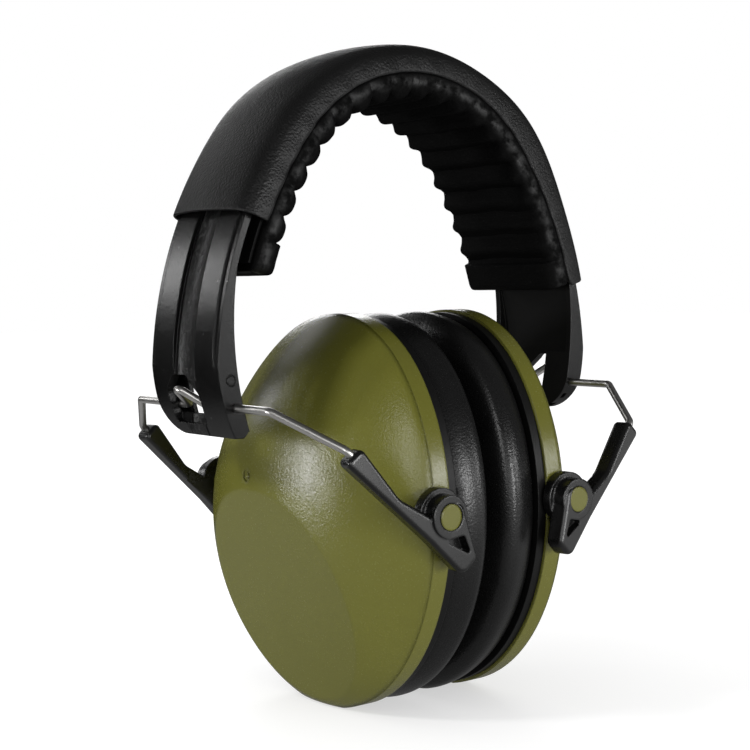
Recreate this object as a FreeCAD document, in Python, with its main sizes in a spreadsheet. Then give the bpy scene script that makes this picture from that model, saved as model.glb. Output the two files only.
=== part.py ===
import FreeCAD, Part
import math
import os

doc = FreeCAD.newDocument("earmuff")
V = FreeCAD.Vector
UP, ALONG = V(0, 0, 1), V(0, 1, 0)  # Z is up, Y runs from the front to the back
TURN = FreeCAD.Rotation(UP, 180)

# Driving sizes in millimetres and degrees. X is across the head, and the cups face each other at X = 0.
SIZES = {
    # The band: every layer is an arc about one centre on each side, joined by a tangent arc on top
    "side_centre": 46.5,  # across the middle plane from the side that the arc serves
    "side_centre_rise": 29.3,  # above the cup pins
    "cover_radius": 110.1,
    "top_radius": 51.75,  # of the cover, over the crown of the head
    "cover_wall": 1.3,
    "cover_drop": 7.5,  # from the outside of the cover to the seam
    "cover_half_width": 18.2,
    "left_mouth_angle": 23.6,
    "right_mouth_angle": 13.4,
    "left_pad_angle": 16.7,
    "right_pad_angle": 13.8,
    "lining_wall": 1.2,
    "lining_depth": 14.3,  # from the outside of the cover to the head side of the lining
    "core_depth": 6.9,  # from the outside of the cover to the core
    "core_wall": 1.3,
    "layer_gap": 0.1,
    # The arms
    "arm_half_width": 15.5,
    "arm_gap": 0.6,  # between the cover and the arm's outer face
    "arm_wall": 2.4,
    "flange_wall": 1.6,
    "flange_top_angle": 16.5,
    "foot_corner": 2.2,
    "arm_top_angle": 28.4,
    "curl_angle": 8.0,  # where the arm leaves the sliding arc
    "curl_radius": 45.0,
    "arm_foot_drop": 7.4,  # of the lower end, below the wire
    "arm_foot_depth": 4.6,
    "arm_corner": 9.5,
    "groove_half_width": 4.9,
    "groove_depth": 1.1,
    "window_centre": 2.3,
    "window_half_width": 7.6,
    "window_drop": 4.5,  # of the window's lower edge, below the wire
    "window_lift": 7.6,  # of its upper edge, above the wire
    "keeper_start": 6.0,
    "keeper_wall": 1.1,
    "shelf_wall": 1.4,
    "ejector_radius": 1.4,
    "ejector_lift": 6.6,
    "guide_low_angle": 24.5,
    "guide_below_top": 0.36,
    "guide_gap": 0.4,
    "rail_wall": 0.9,
    # The wire yokes
    "wire_radius": 1.0,
    "wire_bend": 2.4,
    "yoke_inset": 3.13,  # of the straight run through the arm, from the arm's outer face
    "yoke_rise": 26.0,
    "yoke_half_span": 29.7,
    "grip_reach": 46.6,  # where the wire enters a lever
    "grip_half_span": 46.6,
    "grip_rise": 17.2,
    "grip_length": 11.0,
    "grip_clearance": 0.02,
    "beam_angle": 50.0,  # of the lever's straight bar, above level
    "kink_out": 7.2,
    "kink_up": 5.3,
    "kink_half_width": 4.2,
    "kink_centre": 1.5,
    "bore_clearance": 0.06,
    # The pivots and levers
    "pin_reach": 21.06,
    "pin_radius": 3.15,
    "pin_half_span": 52.8,
    "hub_radius": 5.2,
    "hub_outer": 52.6,
    "hub_inner": 48.6,
    "disc_radius": 6.6,
    "disc_inner": 46.7,
    "lever_thickness": 5.0,
    "lever_turn": 9.0,
    "notch_gap": 0.45,
    # The cups
    "rim_half_width": 45.6,
    "rim_half_height": 52.4,
    "rim_lean": 21.8,
    "rim_taper": 0.09,
    "rim_shift": -1.5,
    "rim_drop": 3.5,  # of the rim's centre below the pins
    "foot_flat": 0.5,
    "rim_reach": 16.2,
    "seam_reach": 21.1,
    "seam_gap": 0.1,
    "rim_wall": 4.2,
    "shell_wall": 2.4,
    "dome_depth": 19.1,
    "dome_shoulder": 1.12,
    "dome_crown": 2.35,
    "dome_shift": 5.5,
    "dome_rise": 2.2,
    "dimple_y": 5.5,
    "dimple_rise": 6.5,
    "dimple_radius": 1.6,
    "dimple_centre": 0.8,
    "dimple_depth": 0.5,
    "facet_tilt": 16.6,
    "facet_distance": 37.7,
    "plate_thickness": 2.6,
    "plate_inset": 0.7,
    "plate_opening": 0.62,
    "clip_thickness": 1.0,
    "cushion_crest": 1.3,
    "cushion_wall": 0.9,
    "ear_opening": 0.54,
    "absorber_scale": 0.68,
    "absorber_thickness": 8.4,
}

sheet = doc.addObject("Spreadsheet::Sheet", "sizes")
for row, (name, value) in enumerate(SIZES.items(), start=1):
    sheet.set(f"A{row}", name)
    sheet.set(f"B{row}", str(value))
    sheet.setAlias(f"B{row}", name)
doc.recompute()


def size(name):
    """One driving size, read from the sheet."""
    return float(sheet.get(name))


derived = []


def derive(name, value):
    """Keep a size that follows from the others in the sheet too, and return it."""
    derived.append(name)
    row = len(derived)
    sheet.set(f"E{row}", name)
    sheet.set(f"F{row}", str(round(value, 6)))
    sheet.setAlias(f"F{row}", name)
    return value


lean = math.radians(size("rim_lean"))
RIM_LOW = math.hypot(size("rim_half_width") * math.sin(lean), size("rim_half_height") * math.cos(lean))
PIN_RISE = derive("pin_rise", size("rim_drop") + RIM_LOW - size("foot_flat"))
ARM_RADIUS = derive("arm_radius", size("cover_radius") - size("cover_wall") - size("arm_gap"))
CORE_RADIUS = derive("core_radius", size("cover_radius") - size("core_depth"))
LINING_RADIUS = derive("lining_radius", size("cover_radius") - size("lining_depth"))
SEAM_RADIUS = derive("seam_radius", size("cover_radius") - size("cover_drop"))
SIDE_Z = derive("side_centre_z", PIN_RISE + size("side_centre_rise"))
TOP_ANGLE = math.degrees(math.acos(size("side_centre") / (size("cover_radius") - size("top_radius"))))
TOP_Z = derive(
    "top_centre_z",
    SIDE_Z + (size("cover_radius") - size("top_radius")) * math.sin(math.radians(TOP_ANGLE)),
)
doc.recompute()


def feature(label, shape, placement=None):
    """One sub-part whose shape is made with Part's functions. Its Placement comes after its Shape."""
    made = doc.addObject("Part::Feature", label)
    made.Label = label
    made.Shape = shape
    if placement is not None:
        made.Placement = placement
    return made


def only_solid(shape):
    """The one solid that a boolean leaves."""
    solids = shape.removeSplitter().Solids
    if len(solids) != 1:
        raise ValueError(f"{len(solids)} solids where one was meant")
    return solids[0]


# ---------------------------------------------------------------- the band's arcs


def side_point(side, radius, angle):
    """The point at an angle above the side arc's centre. side is -1 for the left and 1 for the right."""
    turn = math.radians(angle)
    reach = radius * math.cos(turn) - size("side_centre")
    return V(side * reach, 0, SIDE_Z + radius * math.sin(turn))


def side_arc(side, radius, start, end):
    """An arc of the side circle, from one angle to another."""
    middle = (start + end) / 2
    points = [side_point(side, radius, angle) for angle in (start, middle, end)]
    return Part.Arc(*points).toShape()


def top_arc(radius):
    """The arc over the head that joins the two side arcs of this radius, from the left to the right."""
    crown = V(0, 0, TOP_Z + size("top_radius") - size("cover_radius") + radius)
    return Part.Arc(side_point(-1, radius, TOP_ANGLE), crown, side_point(1, radius, TOP_ANGLE)).toShape()


def arch_edges(radius, left_angle, right_angle):
    """The whole arch from the left end to the right end."""
    left = side_arc(-1, radius, left_angle, TOP_ANGLE)
    right = side_arc(1, radius, TOP_ANGLE, right_angle)
    return [left, top_arc(radius), right]


def arch_slab(outer, inner, half_width, left_angle, right_angle):
    """A solid layer of the band between two radii."""
    edges = arch_edges(outer, left_angle, right_angle) + arch_edges(inner, left_angle, right_angle)
    edges.append(Part.makeLine(side_point(-1, outer, left_angle), side_point(-1, inner, left_angle)))
    edges.append(Part.makeLine(side_point(1, outer, right_angle), side_point(1, inner, right_angle)))
    face = Part.Face(Part.Wire(Part.__sortEdges__(edges)))
    face.translate(V(0, -half_width, 0))
    return face.extrude(V(0, 2 * half_width, 0))


def side_slab(side, outer, inner, half_width, low_angle, high_angle):
    """A solid layer of one side arc between two radii and two angles."""
    edges = [
        side_arc(side, outer, low_angle, high_angle),
        side_arc(side, inner, low_angle, high_angle),
        Part.makeLine(side_point(side, outer, low_angle), side_point(side, inner, low_angle)),
        Part.makeLine(side_point(side, outer, high_angle), side_point(side, inner, high_angle)),
    ]
    face = Part.Face(Part.Wire(Part.__sortEdges__(edges)))
    face.translate(V(0, -half_width, 0))
    return face.extrude(V(0, 2 * half_width, 0))


def long_edges(shape, radius, half_width):
    """The edges of a layer that run along the arch at this radius and half width."""
    found = []
    for edge in shape.Edges:
        middle = edge.valueAt((edge.FirstParameter + edge.LastParameter) / 2)
        on_side = abs(abs(middle.y) - half_width) < 0.01 and edge.Length > 10
        side = V(size("side_centre") * (1 if middle.x < 0 else -1), middle.y, SIDE_Z)
        off_side = abs(middle.distanceToPoint(side) - radius)
        top_middle = V(0, middle.y, TOP_Z)
        off_top = abs(middle.distanceToPoint(top_middle) - (size("top_radius") - size("cover_radius") + radius))
        if on_side and min(off_side, off_top) < 0.01:
            found.append(edge)
    return found


def headband_cover():
    """A U-shaped sleeve, crowned by its rounded outer edges, open at the seam side."""
    outer, wall, half = size("cover_radius"), size("cover_wall"), size("cover_half_width")
    ends = size("left_mouth_angle"), size("right_mouth_angle")
    body = arch_slab(outer, SEAM_RADIUS, half, *ends)
    body = body.makeFillet(4.0, long_edges(body, outer, half))
    wide = ends[0] - 2, ends[1] - 2
    inside = arch_slab(outer - wall, SEAM_RADIUS - 1, half - wall, *wide)
    inside = inside.makeFillet(4.0 - wall, long_edges(inside, outer - wall, half - wall))
    return only_solid(body.cut(inside))


def pad_ends(inset, radius):
    """The left and right end angles of a layer that stops this far inside the lining's ends."""
    back = math.degrees(inset / radius)
    return size("left_pad_angle") + back, size("right_pad_angle") + back


def headband_lining():
    """The head side of the pad: a trough that holds the foam, closed at both ends."""
    half, wall = size("cover_half_width") - 0.3, size("lining_wall")
    outer = SEAM_RADIUS - size("layer_gap")
    body = arch_slab(outer, LINING_RADIUS, half, *pad_ends(0, LINING_RADIUS))
    body = body.makeFillet(3.0, long_edges(body, LINING_RADIUS, half))
    hollow = arch_slab(outer + 1, LINING_RADIUS + wall, half - wall, *pad_ends(wall, LINING_RADIUS))
    hollow = hollow.makeFillet(3.0 - wall, long_edges(hollow, LINING_RADIUS + wall, half - wall))
    return only_solid(body.cut(hollow))


def headband_foam():
    """The foam that fills the lining up to the core."""
    wall, gap = size("lining_wall"), size("layer_gap")
    half = size("cover_half_width") - 0.3 - wall - gap
    inner = LINING_RADIUS + wall + gap
    ends = pad_ends(wall + gap, LINING_RADIUS)
    body = arch_slab(CORE_RADIUS - size("core_wall") - gap, inner, half, *ends)
    return only_solid(body.makeFillet(3.0 - wall, long_edges(body, inner, half)))


def headband_core():
    """The spring strip that grips the head."""
    ends = pad_ends(size("lining_wall") + 0.5, LINING_RADIUS)
    return arch_slab(CORE_RADIUS, CORE_RADIUS - size("core_wall"), size("arm_half_width"), *ends)


def headband_top_pad():
    """Foam between the core and the cover, over the top of the head only."""
    gap = size("layer_gap")
    outer = size("cover_radius") - size("cover_wall") - gap
    half = size("cover_half_width") - size("cover_wall") - gap
    inner = CORE_RADIUS + gap
    start = TOP_ANGLE - 0.3
    body = arch_slab(outer, inner, half, start, start)
    return only_solid(body.makeFillet(4.0 - size("cover_wall"), long_edges(body, outer, half)))


def slide_guide(side):
    """A trough on the core's end that the arm slides in, with a rail on each edge."""
    low, high = size("guide_low_angle"), TOP_ANGLE - size("guide_below_top")
    inner_half = size("arm_half_width") + 0.25
    half = inner_half + size("rail_wall")
    floor = ARM_RADIUS - size("arm_wall") - size("guide_gap")
    rail_top = ARM_RADIUS - size("arm_wall") + 1.0
    block = side_slab(side, rail_top, CORE_RADIUS + size("layer_gap"), half, low, high)
    way = side_slab(side, ARM_RADIUS, floor, inner_half, low - 1, high + 1)
    return only_solid(block.cut(way))


# ---------------------------------------------------------------- the arms


def curl_centre():
    """The centre of the smaller arc that the left arm's lower end follows."""
    start = side_point(-1, ARM_RADIUS, size("curl_angle"))
    turn = math.radians(size("curl_angle"))
    return start + V(math.cos(turn), 0, -math.sin(turn)) * size("curl_radius")


def curl_point(radius, angle):
    """A point of the lower end, at an angle above the curl's centre."""
    turn = math.radians(angle)
    return curl_centre() + V(-radius * math.cos(turn), 0, radius * math.sin(turn))


def skin_reach(z, inset=0.0):
    """How far the lower end's outer face stands from the middle plane at this height."""
    radius = size("curl_radius") - inset
    return math.sqrt(radius**2 - (z - curl_centre().z) ** 2) - curl_centre().x


ARM_FOOT = PIN_RISE + size("yoke_rise") - size("arm_foot_drop")
WIRE_Z = PIN_RISE + size("yoke_rise")
YOKE_REACH = derive("yoke_reach", skin_reach(WIRE_Z) - size("yoke_inset"))
doc.recompute()


def arm_skin(inset):
    """The left arm's profile from its hidden tip to its lower end, this far inside its outer face."""
    curl, radius = size("curl_angle"), size("curl_radius") - inset
    foot = math.degrees(math.asin((ARM_FOOT - curl_centre().z) / radius))
    sliding = side_arc(-1, ARM_RADIUS - inset, size("arm_top_angle"), curl)
    curled = Part.Arc(*[curl_point(radius, a) for a in (curl, (curl + foot) / 2, foot)]).toShape()
    return sliding, curled


def arm_side(inset_start):
    """The face between the outer skin and one this far inside it, in the plane of the arch."""
    outer, inner = arm_skin(0), arm_skin(inset_start)
    edges = [*outer, *inner]
    for k, end in ((0, 0), (1, 1)):
        a, b = outer[k].Vertexes[-end].Point, inner[k].Vertexes[-end].Point
        edges.append(Part.makeLine(a, b))
    return Part.Face(Part.Wire(Part.__sortEdges__(edges)))


def flange_edge():
    """The inner edge of a flange, as its lower, middle and upper points."""
    top = side_point(-1, ARM_RADIUS - size("arm_wall"), size("flange_top_angle"))
    low = V(size("arm_foot_depth") - skin_reach(ARM_FOOT), 0, ARM_FOOT)
    waist = V(top.x - 1.2, 0, (top.z + low.z) / 2 + 2.5)
    return low, waist, top


def flange_face():
    """One flange: from the outer skin to an inner edge that stands further out towards the lower end."""
    start, end = size("flange_top_angle"), size("curl_angle")
    top_out = side_point(-1, ARM_RADIUS, start)
    curled = arm_skin(0)[1]
    low_out = curled.Vertexes[-1].Point
    low_in, waist, top_in = flange_edge()
    edges = [
        side_arc(-1, ARM_RADIUS, start, end),
        curled,
        Part.makeLine(low_out, low_in),
        Part.Arc(low_in, waist, top_in).toShape(),
        Part.makeLine(top_in, top_out),
    ]
    return Part.Face(Part.Wire(Part.__sortEdges__(edges)))


def flange(start):
    """One flange as a solid from this Y, with its lower inner corner rounded."""
    side = flange_face()
    side.translate(V(0, start, 0))
    body = side.extrude(V(0, size("flange_wall"), 0))
    low_in = flange_edge()[0]
    corner = [e for e in body.Edges if e.CenterOfMass.distanceToLine(low_in, ALONG) < 0.01]
    return body.makeFillet(size("foot_corner"), corner)


def keeper():
    """The thin wall behind the wire, which follows the flanges' inner edge over the window's height."""
    low, waist, top = flange_edge()
    wall = V(-size("keeper_wall"), 0, 0)
    inner = Part.Arc(low, waist, top).toShape()
    outer = Part.Arc(low + wall, waist + wall, top + wall).toShape()
    ends = [Part.makeLine(low, low + wall), Part.makeLine(top, top + wall)]
    face = Part.Face(Part.Wire(Part.__sortEdges__([inner, outer, *ends])))
    start = size("keeper_start")
    face.translate(V(0, start, 0))
    wide = size("arm_half_width") - start
    body = face.extrude(V(0, wide, 0))
    base = WIRE_Z - size("window_drop") - size("shelf_wall")
    height = size("window_drop") + size("window_lift") + size("shelf_wall") + 1
    return body.common(Part.makeBox(30, 40, height, V(-75, -20, base)))


def shelf():
    """The floor under the window, from the outer wall to the flanges' inner edge."""
    base = WIRE_Z - size("window_drop") - size("shelf_wall")
    half = size("arm_half_width")
    side = flange_face()
    side.translate(V(0, -half, 0))
    whole = side.extrude(V(0, 2 * half, 0))
    return whole.common(Part.makeBox(30, 40, size("shelf_wall"), V(-75, -20, base)))


def ejector_mark():
    """The faint ring that the mould's ejector leaves on a flange."""
    radius = size("ejector_radius")
    foot = V(-YOKE_REACH - 1.2, -size("arm_half_width") - 1, WIRE_Z + size("ejector_lift"))
    return Part.makeCylinder(radius, 1.2, foot, ALONG).cut(Part.makeCylinder(radius - 0.3, 2, foot, ALONG))


def groove_tools():
    """What is cut from the outer face: the groove, and a step along each edge that leaves two lands."""
    half, top = size("arm_half_width"), size("arm_top_angle") + 1
    low = math.degrees(math.asin((WIRE_Z + size("window_lift") - 1 - SIDE_Z) / ARM_RADIUS))
    groove_floor = ARM_RADIUS - size("groove_depth")
    tools = [side_slab(-1, ARM_RADIUS + 1, groove_floor, size("groove_half_width"), low, top)]
    for way in (-1, 1):
        step = side_slab(-1, ARM_RADIUS + 1, ARM_RADIUS - 0.5, 1.1, low, top)
        step.translate(V(0, way * (half - 1.1), 0))
        tools.append(step)
    return tools


def arm_blank():
    """The left arm before its window and wire holes."""
    half, wall = size("arm_half_width"), size("flange_wall")
    skin = arm_side(size("arm_wall"))
    skin.translate(V(0, -half, 0))
    body = skin.extrude(V(0, 2 * half, 0))
    body = body.fuse([flange(-half), flange(half - wall), keeper(), shelf()]).removeSplitter()
    # The rear lower corner is rounded, and the front one is left square
    corner = size("arm_corner")
    block = Part.makeBox(30, corner, corner, V(-75, half - corner, ARM_FOOT))
    round_off = Part.makeCylinder(corner, 30, V(-75, half - corner, ARM_FOOT + corner), V(1, 0, 0))
    return only_solid(body.cut([*groove_tools(), ejector_mark(), block.cut(round_off)]))


def wire_bore(label):
    """The hole through both flanges that the wire turns in."""
    bore = doc.addObject("Part::Cylinder", label)
    bore.setExpression("Radius", "sizes.wire_radius + sizes.bore_clearance")
    bore.setExpression("Height", "2 * sizes.arm_half_width + 2")
    bore.setExpression("Placement.Base.x", "-sizes.yoke_reach")
    bore.setExpression("Placement.Base.y", "-sizes.arm_half_width - 1")
    bore.setExpression("Placement.Base.z", "sizes.pin_rise + sizes.yoke_rise")
    bore.Placement.Rotation = FreeCAD.Rotation(V(1, 0, 0), -90)
    return bore


def window():
    """The rounded opening in the outer wall that the wire's kink stands in. It narrows upwards."""
    low, high = WIRE_Z - size("window_drop"), WIRE_Z + size("window_lift")
    middle, half = size("window_centre"), size("window_half_width")
    shoulder = WIRE_Z + size("window_lift") / 2
    points = [
        V(middle - half, 0, low),
        V(middle - half, 0, shoulder - 1),
        V(middle - half / 4, 0, high),
        V(middle + half / 2, 0, high),
        V(middle + half, 0, shoulder),
        V(middle + half - 1, 0, low),
    ]
    face = rounded_face(points, [1.0, 3.0, 1.4, 2.0, 3.0, 1.0])
    face.rotate(V(0, 0, 0), UP, 90)
    face.translate(V(-YOKE_REACH, 0, 0))
    return face.extrude(V(-12, 0, 0))


def arm(label, turned):
    """One arm. The right arm is the same moulding, turned half a turn."""
    blank = feature(label + "_blank", arm_blank())
    tools = doc.addObject("Part::MultiFuse", label + "_openings")
    tools.Shapes = [wire_bore(label + "_bore"), feature(label + "_window", window())]
    made = doc.addObject("Part::Cut", label)
    made.Label = label
    made.Base = blank
    made.Tool = tools
    if turned:
        made.Placement = FreeCAD.Placement(V(0, 0, 0), TURN)
    return made


# ---------------------------------------------------------------- the wire yokes and levers


def rounded_path(points, radii):
    """A wire of straight runs joined by tangent arcs."""
    edges = []
    start = points[0]
    for before, corner, after, radius in zip(points, points[1:], points[2:], radii):
        to_back, to_next = (before - corner).normalize(), (after - corner).normalize()
        half = to_back.getAngle(to_next) / 2
        cut = radius / math.tan(half)
        first, last = corner + to_back * cut, corner + to_next * cut
        inwards = (to_back + to_next).normalize()
        middle = corner + inwards * (radius / math.sin(half) - radius)
        edges.append(Part.makeLine(start, first))
        edges.append(Part.Arc(first, middle, last).toShape())
        start = last
    edges.append(Part.makeLine(start, points[-1]))
    return Part.Wire(edges)


def lever_way():
    """The direction of the left front lever's bar, down towards its hub and outwards to the hub's middle."""
    turn = math.radians(size("beam_angle"))
    outwards = math.cos(turn) * math.tan(math.radians(size("lever_turn")))
    return V(math.cos(turn), -outwards, -math.sin(turn)).normalize()


def wire_yoke():
    """The left yoke: one bent wire from the front lever, through the arm, to the rear lever."""
    reach, rise = YOKE_REACH, WIRE_Z
    grip = V(-size("grip_reach"), -size("grip_half_span"), PIN_RISE + size("grip_rise"))
    way = lever_way()
    kink, centre = size("kink_half_width"), size("kink_centre")
    front = [
        grip + way * size("grip_length"),
        grip,
        V(-reach, -size("yoke_half_span"), rise),
    ]
    kinked = [
        V(-reach, centre - kink, rise),
        V(-reach - size("kink_out"), centre, rise + size("kink_up")),
        V(-reach, centre + kink, rise),
    ]
    back = [V(p.x, -p.y, p.z) for p in reversed(front)]
    bend = size("wire_bend")
    radii = [bend, bend, 1.3, 1.5, 1.3, bend, bend]
    path = rounded_path(front + kinked + back, radii)
    start = path.Edges[0]
    circle = Part.Circle(start.valueAt(start.FirstParameter), way, size("wire_radius"))
    profile = Part.Wire(circle.toShape())
    return only_solid(path.makePipeShell([profile], True, False))


def rounded_face(points, radii):
    """A flat face in the XZ plane with rounded corners. Points go round once."""
    count = len(points)
    corners = []
    for k in range(count):
        before, corner, after = points[k - 1], points[k], points[(k + 1) % count]
        to_back, to_next = (before - corner).normalize(), (after - corner).normalize()
        half = to_back.getAngle(to_next) / 2
        cut = radii[k] / math.tan(half)
        inwards = (to_back + to_next).normalize()
        middle = corner + inwards * (radii[k] / math.sin(half) - radii[k])
        corners.append((corner + to_back * cut, middle, corner + to_next * cut))
    edges = []
    for k, (first, middle, last) in enumerate(corners):
        edges.append(Part.Arc(first, middle, last).toShape())
        edges.append(Part.makeLine(last, corners[(k + 1) % count][0]))
    return Part.Face(Part.Wire(edges))


def lever_beam():
    """The left front lever's bar, from the wire to the tail beyond the hub."""
    outline = [  # outwards and upwards from the pin
        (27.2, 14.4),
        (22.9, 18.0),
        (13.0, 5.3),
        (4.6, 0.4),
        (-3.6, 4.4),
        (-7.8, -10.6),
        (-3.6, -14.6),
        (5.2, -5.6),
    ]
    radii = [1.4, 1.4, 6.0, 1.0, 2.5, 2.2, 2.4, 12.0]
    face = rounded_face([V(-x, 0, z) for x, z in outline], radii)
    thick = size("lever_thickness")
    face.translate(V(0, -thick / 2, 0))
    bar = face.extrude(V(0, thick, 0))
    rims = [e for e in bar.Edges if abs(abs(e.CenterOfMass.y) - thick / 2) < 0.01]
    bar = bar.makeFillet(1.1, rims)
    # The bar turns in towards the arm, so that its top stands nearer the middle than its hub
    bar.rotate(V(0, 0, 0), UP, -size("lever_turn"))
    bar.translate(V(-size("pin_reach"), thick / 2 - size("hub_outer"), PIN_RISE))
    return bar


def lever_solid():
    """The left front lever: its bar and hub, bored for the pin and the wire, with the tail's pocket."""
    hub_height = size("hub_outer") - size("hub_inner")
    pin = V(-size("pin_reach"), -size("hub_outer"), PIN_RISE)
    hub = Part.makeCylinder(size("hub_radius"), hub_height, pin, ALONG)
    disc_start = V(pin.x, -size("hub_inner") - 0.5, pin.z)
    disc_height = size("hub_inner") + 0.5 - size("disc_inner")
    disc = Part.makeCylinder(size("disc_radius"), disc_height, disc_start, ALONG)
    # Nothing of the bar reaches inside the disc's inner face, where it would rub on the rim
    reach = Part.makeBox(60, 12, 60, V(pin.x - 12, -size("disc_inner"), pin.z - 30))
    body = lever_beam().fuse([hub, disc]).cut(reach)
    bore_radius = size("pin_radius") + size("bore_clearance")
    bore = Part.makeCylinder(bore_radius, 30, V(pin.x, -65, pin.z), ALONG)
    grip = V(-size("grip_reach"), -size("grip_half_span"), PIN_RISE + size("grip_rise"))
    way = lever_way()
    wire_room = size("wire_radius") + size("grip_clearance")
    wire_way = Part.makeCylinder(wire_room, size("grip_length") + 6, grip - way * 6, way)
    pocket = rounded_face(
        [V(pin.x - x, 0, pin.z + z) for x, z in ((1.6, -5.6), (-3.6, -4.6), (-5.6, -9.6))],
        [0.6, 0.6, 0.6],
    )
    pocket.translate(V(0, -size("hub_outer") - 4, 0))
    recess = pocket.extrude(V(0, 6, 0))
    return only_solid(body.cut([bore, wire_way, recess]))


# ---------------------------------------------------------------- the cups


def outline(x, scale=1.0, inset=0.0, shift_y=0.0, shift_z=0.0):
    """The cup's leaning, tapered oval as a closed curve in the plane at x, scaled about its centre."""
    half_width = (size("rim_half_width") - inset) * scale
    half_height = (size("rim_half_height") - inset) * scale
    points = []
    for k in range(28):
        turn = 2 * math.pi * (k / 28 + 0.2)  # the closed curve starts away from the pins and the floor
        along, up = half_width * math.cos(turn), half_height * math.sin(turn)
        along *= 1 - size("rim_taper") * up / size("rim_half_height")
        y = size("rim_shift") + shift_y + along * math.cos(lean) - up * math.sin(lean)
        z = PIN_RISE - size("rim_drop") + shift_z + along * math.sin(lean) + up * math.cos(lean)
        points.append(V(x, y, z))
    curve = Part.BSplineCurve()
    curve.interpolate(Points=points, PeriodicFlag=True)
    return Part.Wire(curve.toShape())


def prism(start, end, scale=1.0, inset=0.0):
    """A straight-sided block of the cup's outline between two distances from the middle plane."""
    face = Part.Face(outline(-end, scale, inset))
    return face.extrude(V(end - start, 0, 0))


def floor_cut(shape):
    """Take away what would stand below the floor, which leaves the small flat that the cup rests on."""
    below = Part.makeBox(120, 160, 20, V(-100, -80, -20))
    return only_solid(shape.cut(below))


def dome_loft(wall):
    """The round dome beyond the seam, or the hollow that lies this wall inside it."""
    depth = size("dome_depth") - wall
    start = size("seam_reach") + size("seam_gap")
    wires = [outline(2 - start, 1, wall)] if wall else []  # the hollow runs on through the seam
    for part in (0, 0.12, 0.26, 0.42, 0.58, 0.72, 0.84, 0.92, 0.97, 0.994):
        share = (1 - part ** size("dome_shoulder")) ** (1 / size("dome_crown"))
        moved = part * part
        reach = start + part * depth
        wires.append(outline(-reach, share, wall, size("dome_shift") * moved, size("dome_rise") * moved))
    return Part.makeLoft(wires, True, False)


def beyond_facet(wall):
    """All that lies outside the cup's flat facet, or outside the plane this wall behind it."""
    tilt = math.radians(size("facet_tilt"))
    normal = V(-math.cos(tilt), 0, -math.sin(tilt))
    on_plane = normal * (size("facet_distance") - wall) + V(0, 0, PIN_RISE)
    slab = Part.makeBox(200, 200, 40, V(-100, -100, 0))
    slab.Placement = FreeCAD.Placement(on_plane, FreeCAD.Rotation(UP, normal))
    return slab


def notch(side_y):
    """The round recess that a lever's inner disc turns in. side_y is -1 for the front."""
    radius = size("disc_radius") + size("notch_gap")
    base = V(-size("pin_reach"), side_y * (size("disc_inner") - size("notch_gap")), PIN_RISE)
    return Part.makeCylinder(radius, 20, base, V(0, side_y, 0))


def gate_dimple():
    """The shallow ring that the mould's gate leaves on the dome, with a raised centre."""
    inner, outer = size("dimple_centre"), size("dimple_radius")
    far = V(-2 * size("seam_reach"), size("dimple_y"), PIN_RISE + size("dimple_rise"))
    reach = V(size("seam_reach"), 0, 0)
    column = Part.makeCylinder(outer, reach.x, far, reach)
    face = dome_loft(0).common(column).BoundBox.XMin
    start = V(face + size("dimple_depth"), far.y, far.z)
    back = V(-1, 0, 0)
    return Part.makeCylinder(outer, 4, start, back).cut(Part.makeCylinder(inner, 4, start, back))


def cup_shell():
    """The left dome: an even wall, the facet's too, with room for the pins' roots and a gate dimple."""
    wall = size("shell_wall")
    hollow = dome_loft(wall).cut(beyond_facet(wall))
    tools = [beyond_facet(0), notch(-1), notch(1), hollow]
    for way in (-1, 1):
        foot = V(-size("pin_reach"), way * (size("disc_inner") - 7), PIN_RISE)
        tools.append(Part.makeCylinder(size("pin_radius") + 0.3, 8, foot, V(0, way, 0)))
    tools.append(gate_dimple())
    body = floor_cut(dome_loft(0))
    for tool in tools:
        body = body.cut(tool)
    return body.Solids[0]


def rim_blank():
    """The left rim ring before its pins are added."""
    start, end = size("rim_reach"), size("seam_reach")
    ring = prism(start, end).cut(prism(start - 1, end + 1, 1, size("rim_wall")))
    return floor_cut(ring.cut([notch(-1), notch(1)]))


def pin(label, side_y):
    """One pivot pin, on the rim's side wall."""
    made = doc.addObject("Part::Cylinder", label)
    made.setExpression("Radius", "sizes.pin_radius")
    made.setExpression("Height", "sizes.pin_half_span - sizes.rim_half_width + sizes.rim_wall + 1.6")
    made.setExpression("Placement.Base.x", "-sizes.pin_reach")
    if side_y < 0:
        made.setExpression("Placement.Base.y", "-sizes.pin_half_span")
    else:
        made.setExpression(
            "Placement.Base.y", "sizes.rim_half_width - sizes.rim_wall - 1.6"
        )
    made.setExpression("Placement.Base.z", "sizes.pin_rise")
    made.Placement.Rotation = FreeCAD.Rotation(V(1, 0, 0), -90)
    return made


def rim_ring(label):
    """The ring with its two pins."""
    made = doc.addObject("Part::MultiFuse", label)
    made.Label = label
    made.Shapes = [feature(label + "_blank", rim_blank()), pin(label + "_pin_a", -1), pin(label + "_pin_b", 1)]
    return made


def back_plate():
    """The hard ring that the cushion clips to, with the ear's opening."""
    end = size("rim_reach") - size("layer_gap")
    start = end - size("plate_thickness")
    plate = prism(start, end, 1, size("plate_inset"))
    return floor_cut(plate.cut(prism(start - 1, end + 1, size("plate_opening"))))


def clip_ring():
    """The thin ring in the cushion's base that snaps to the plate."""
    end = size("rim_reach") - size("plate_thickness") - 2 * size("layer_gap")
    start = end - size("clip_thickness")
    ring = prism(start, end, 0.9).cut(prism(start - 1, end + 1, size("plate_opening")))
    return only_solid(ring)


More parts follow.
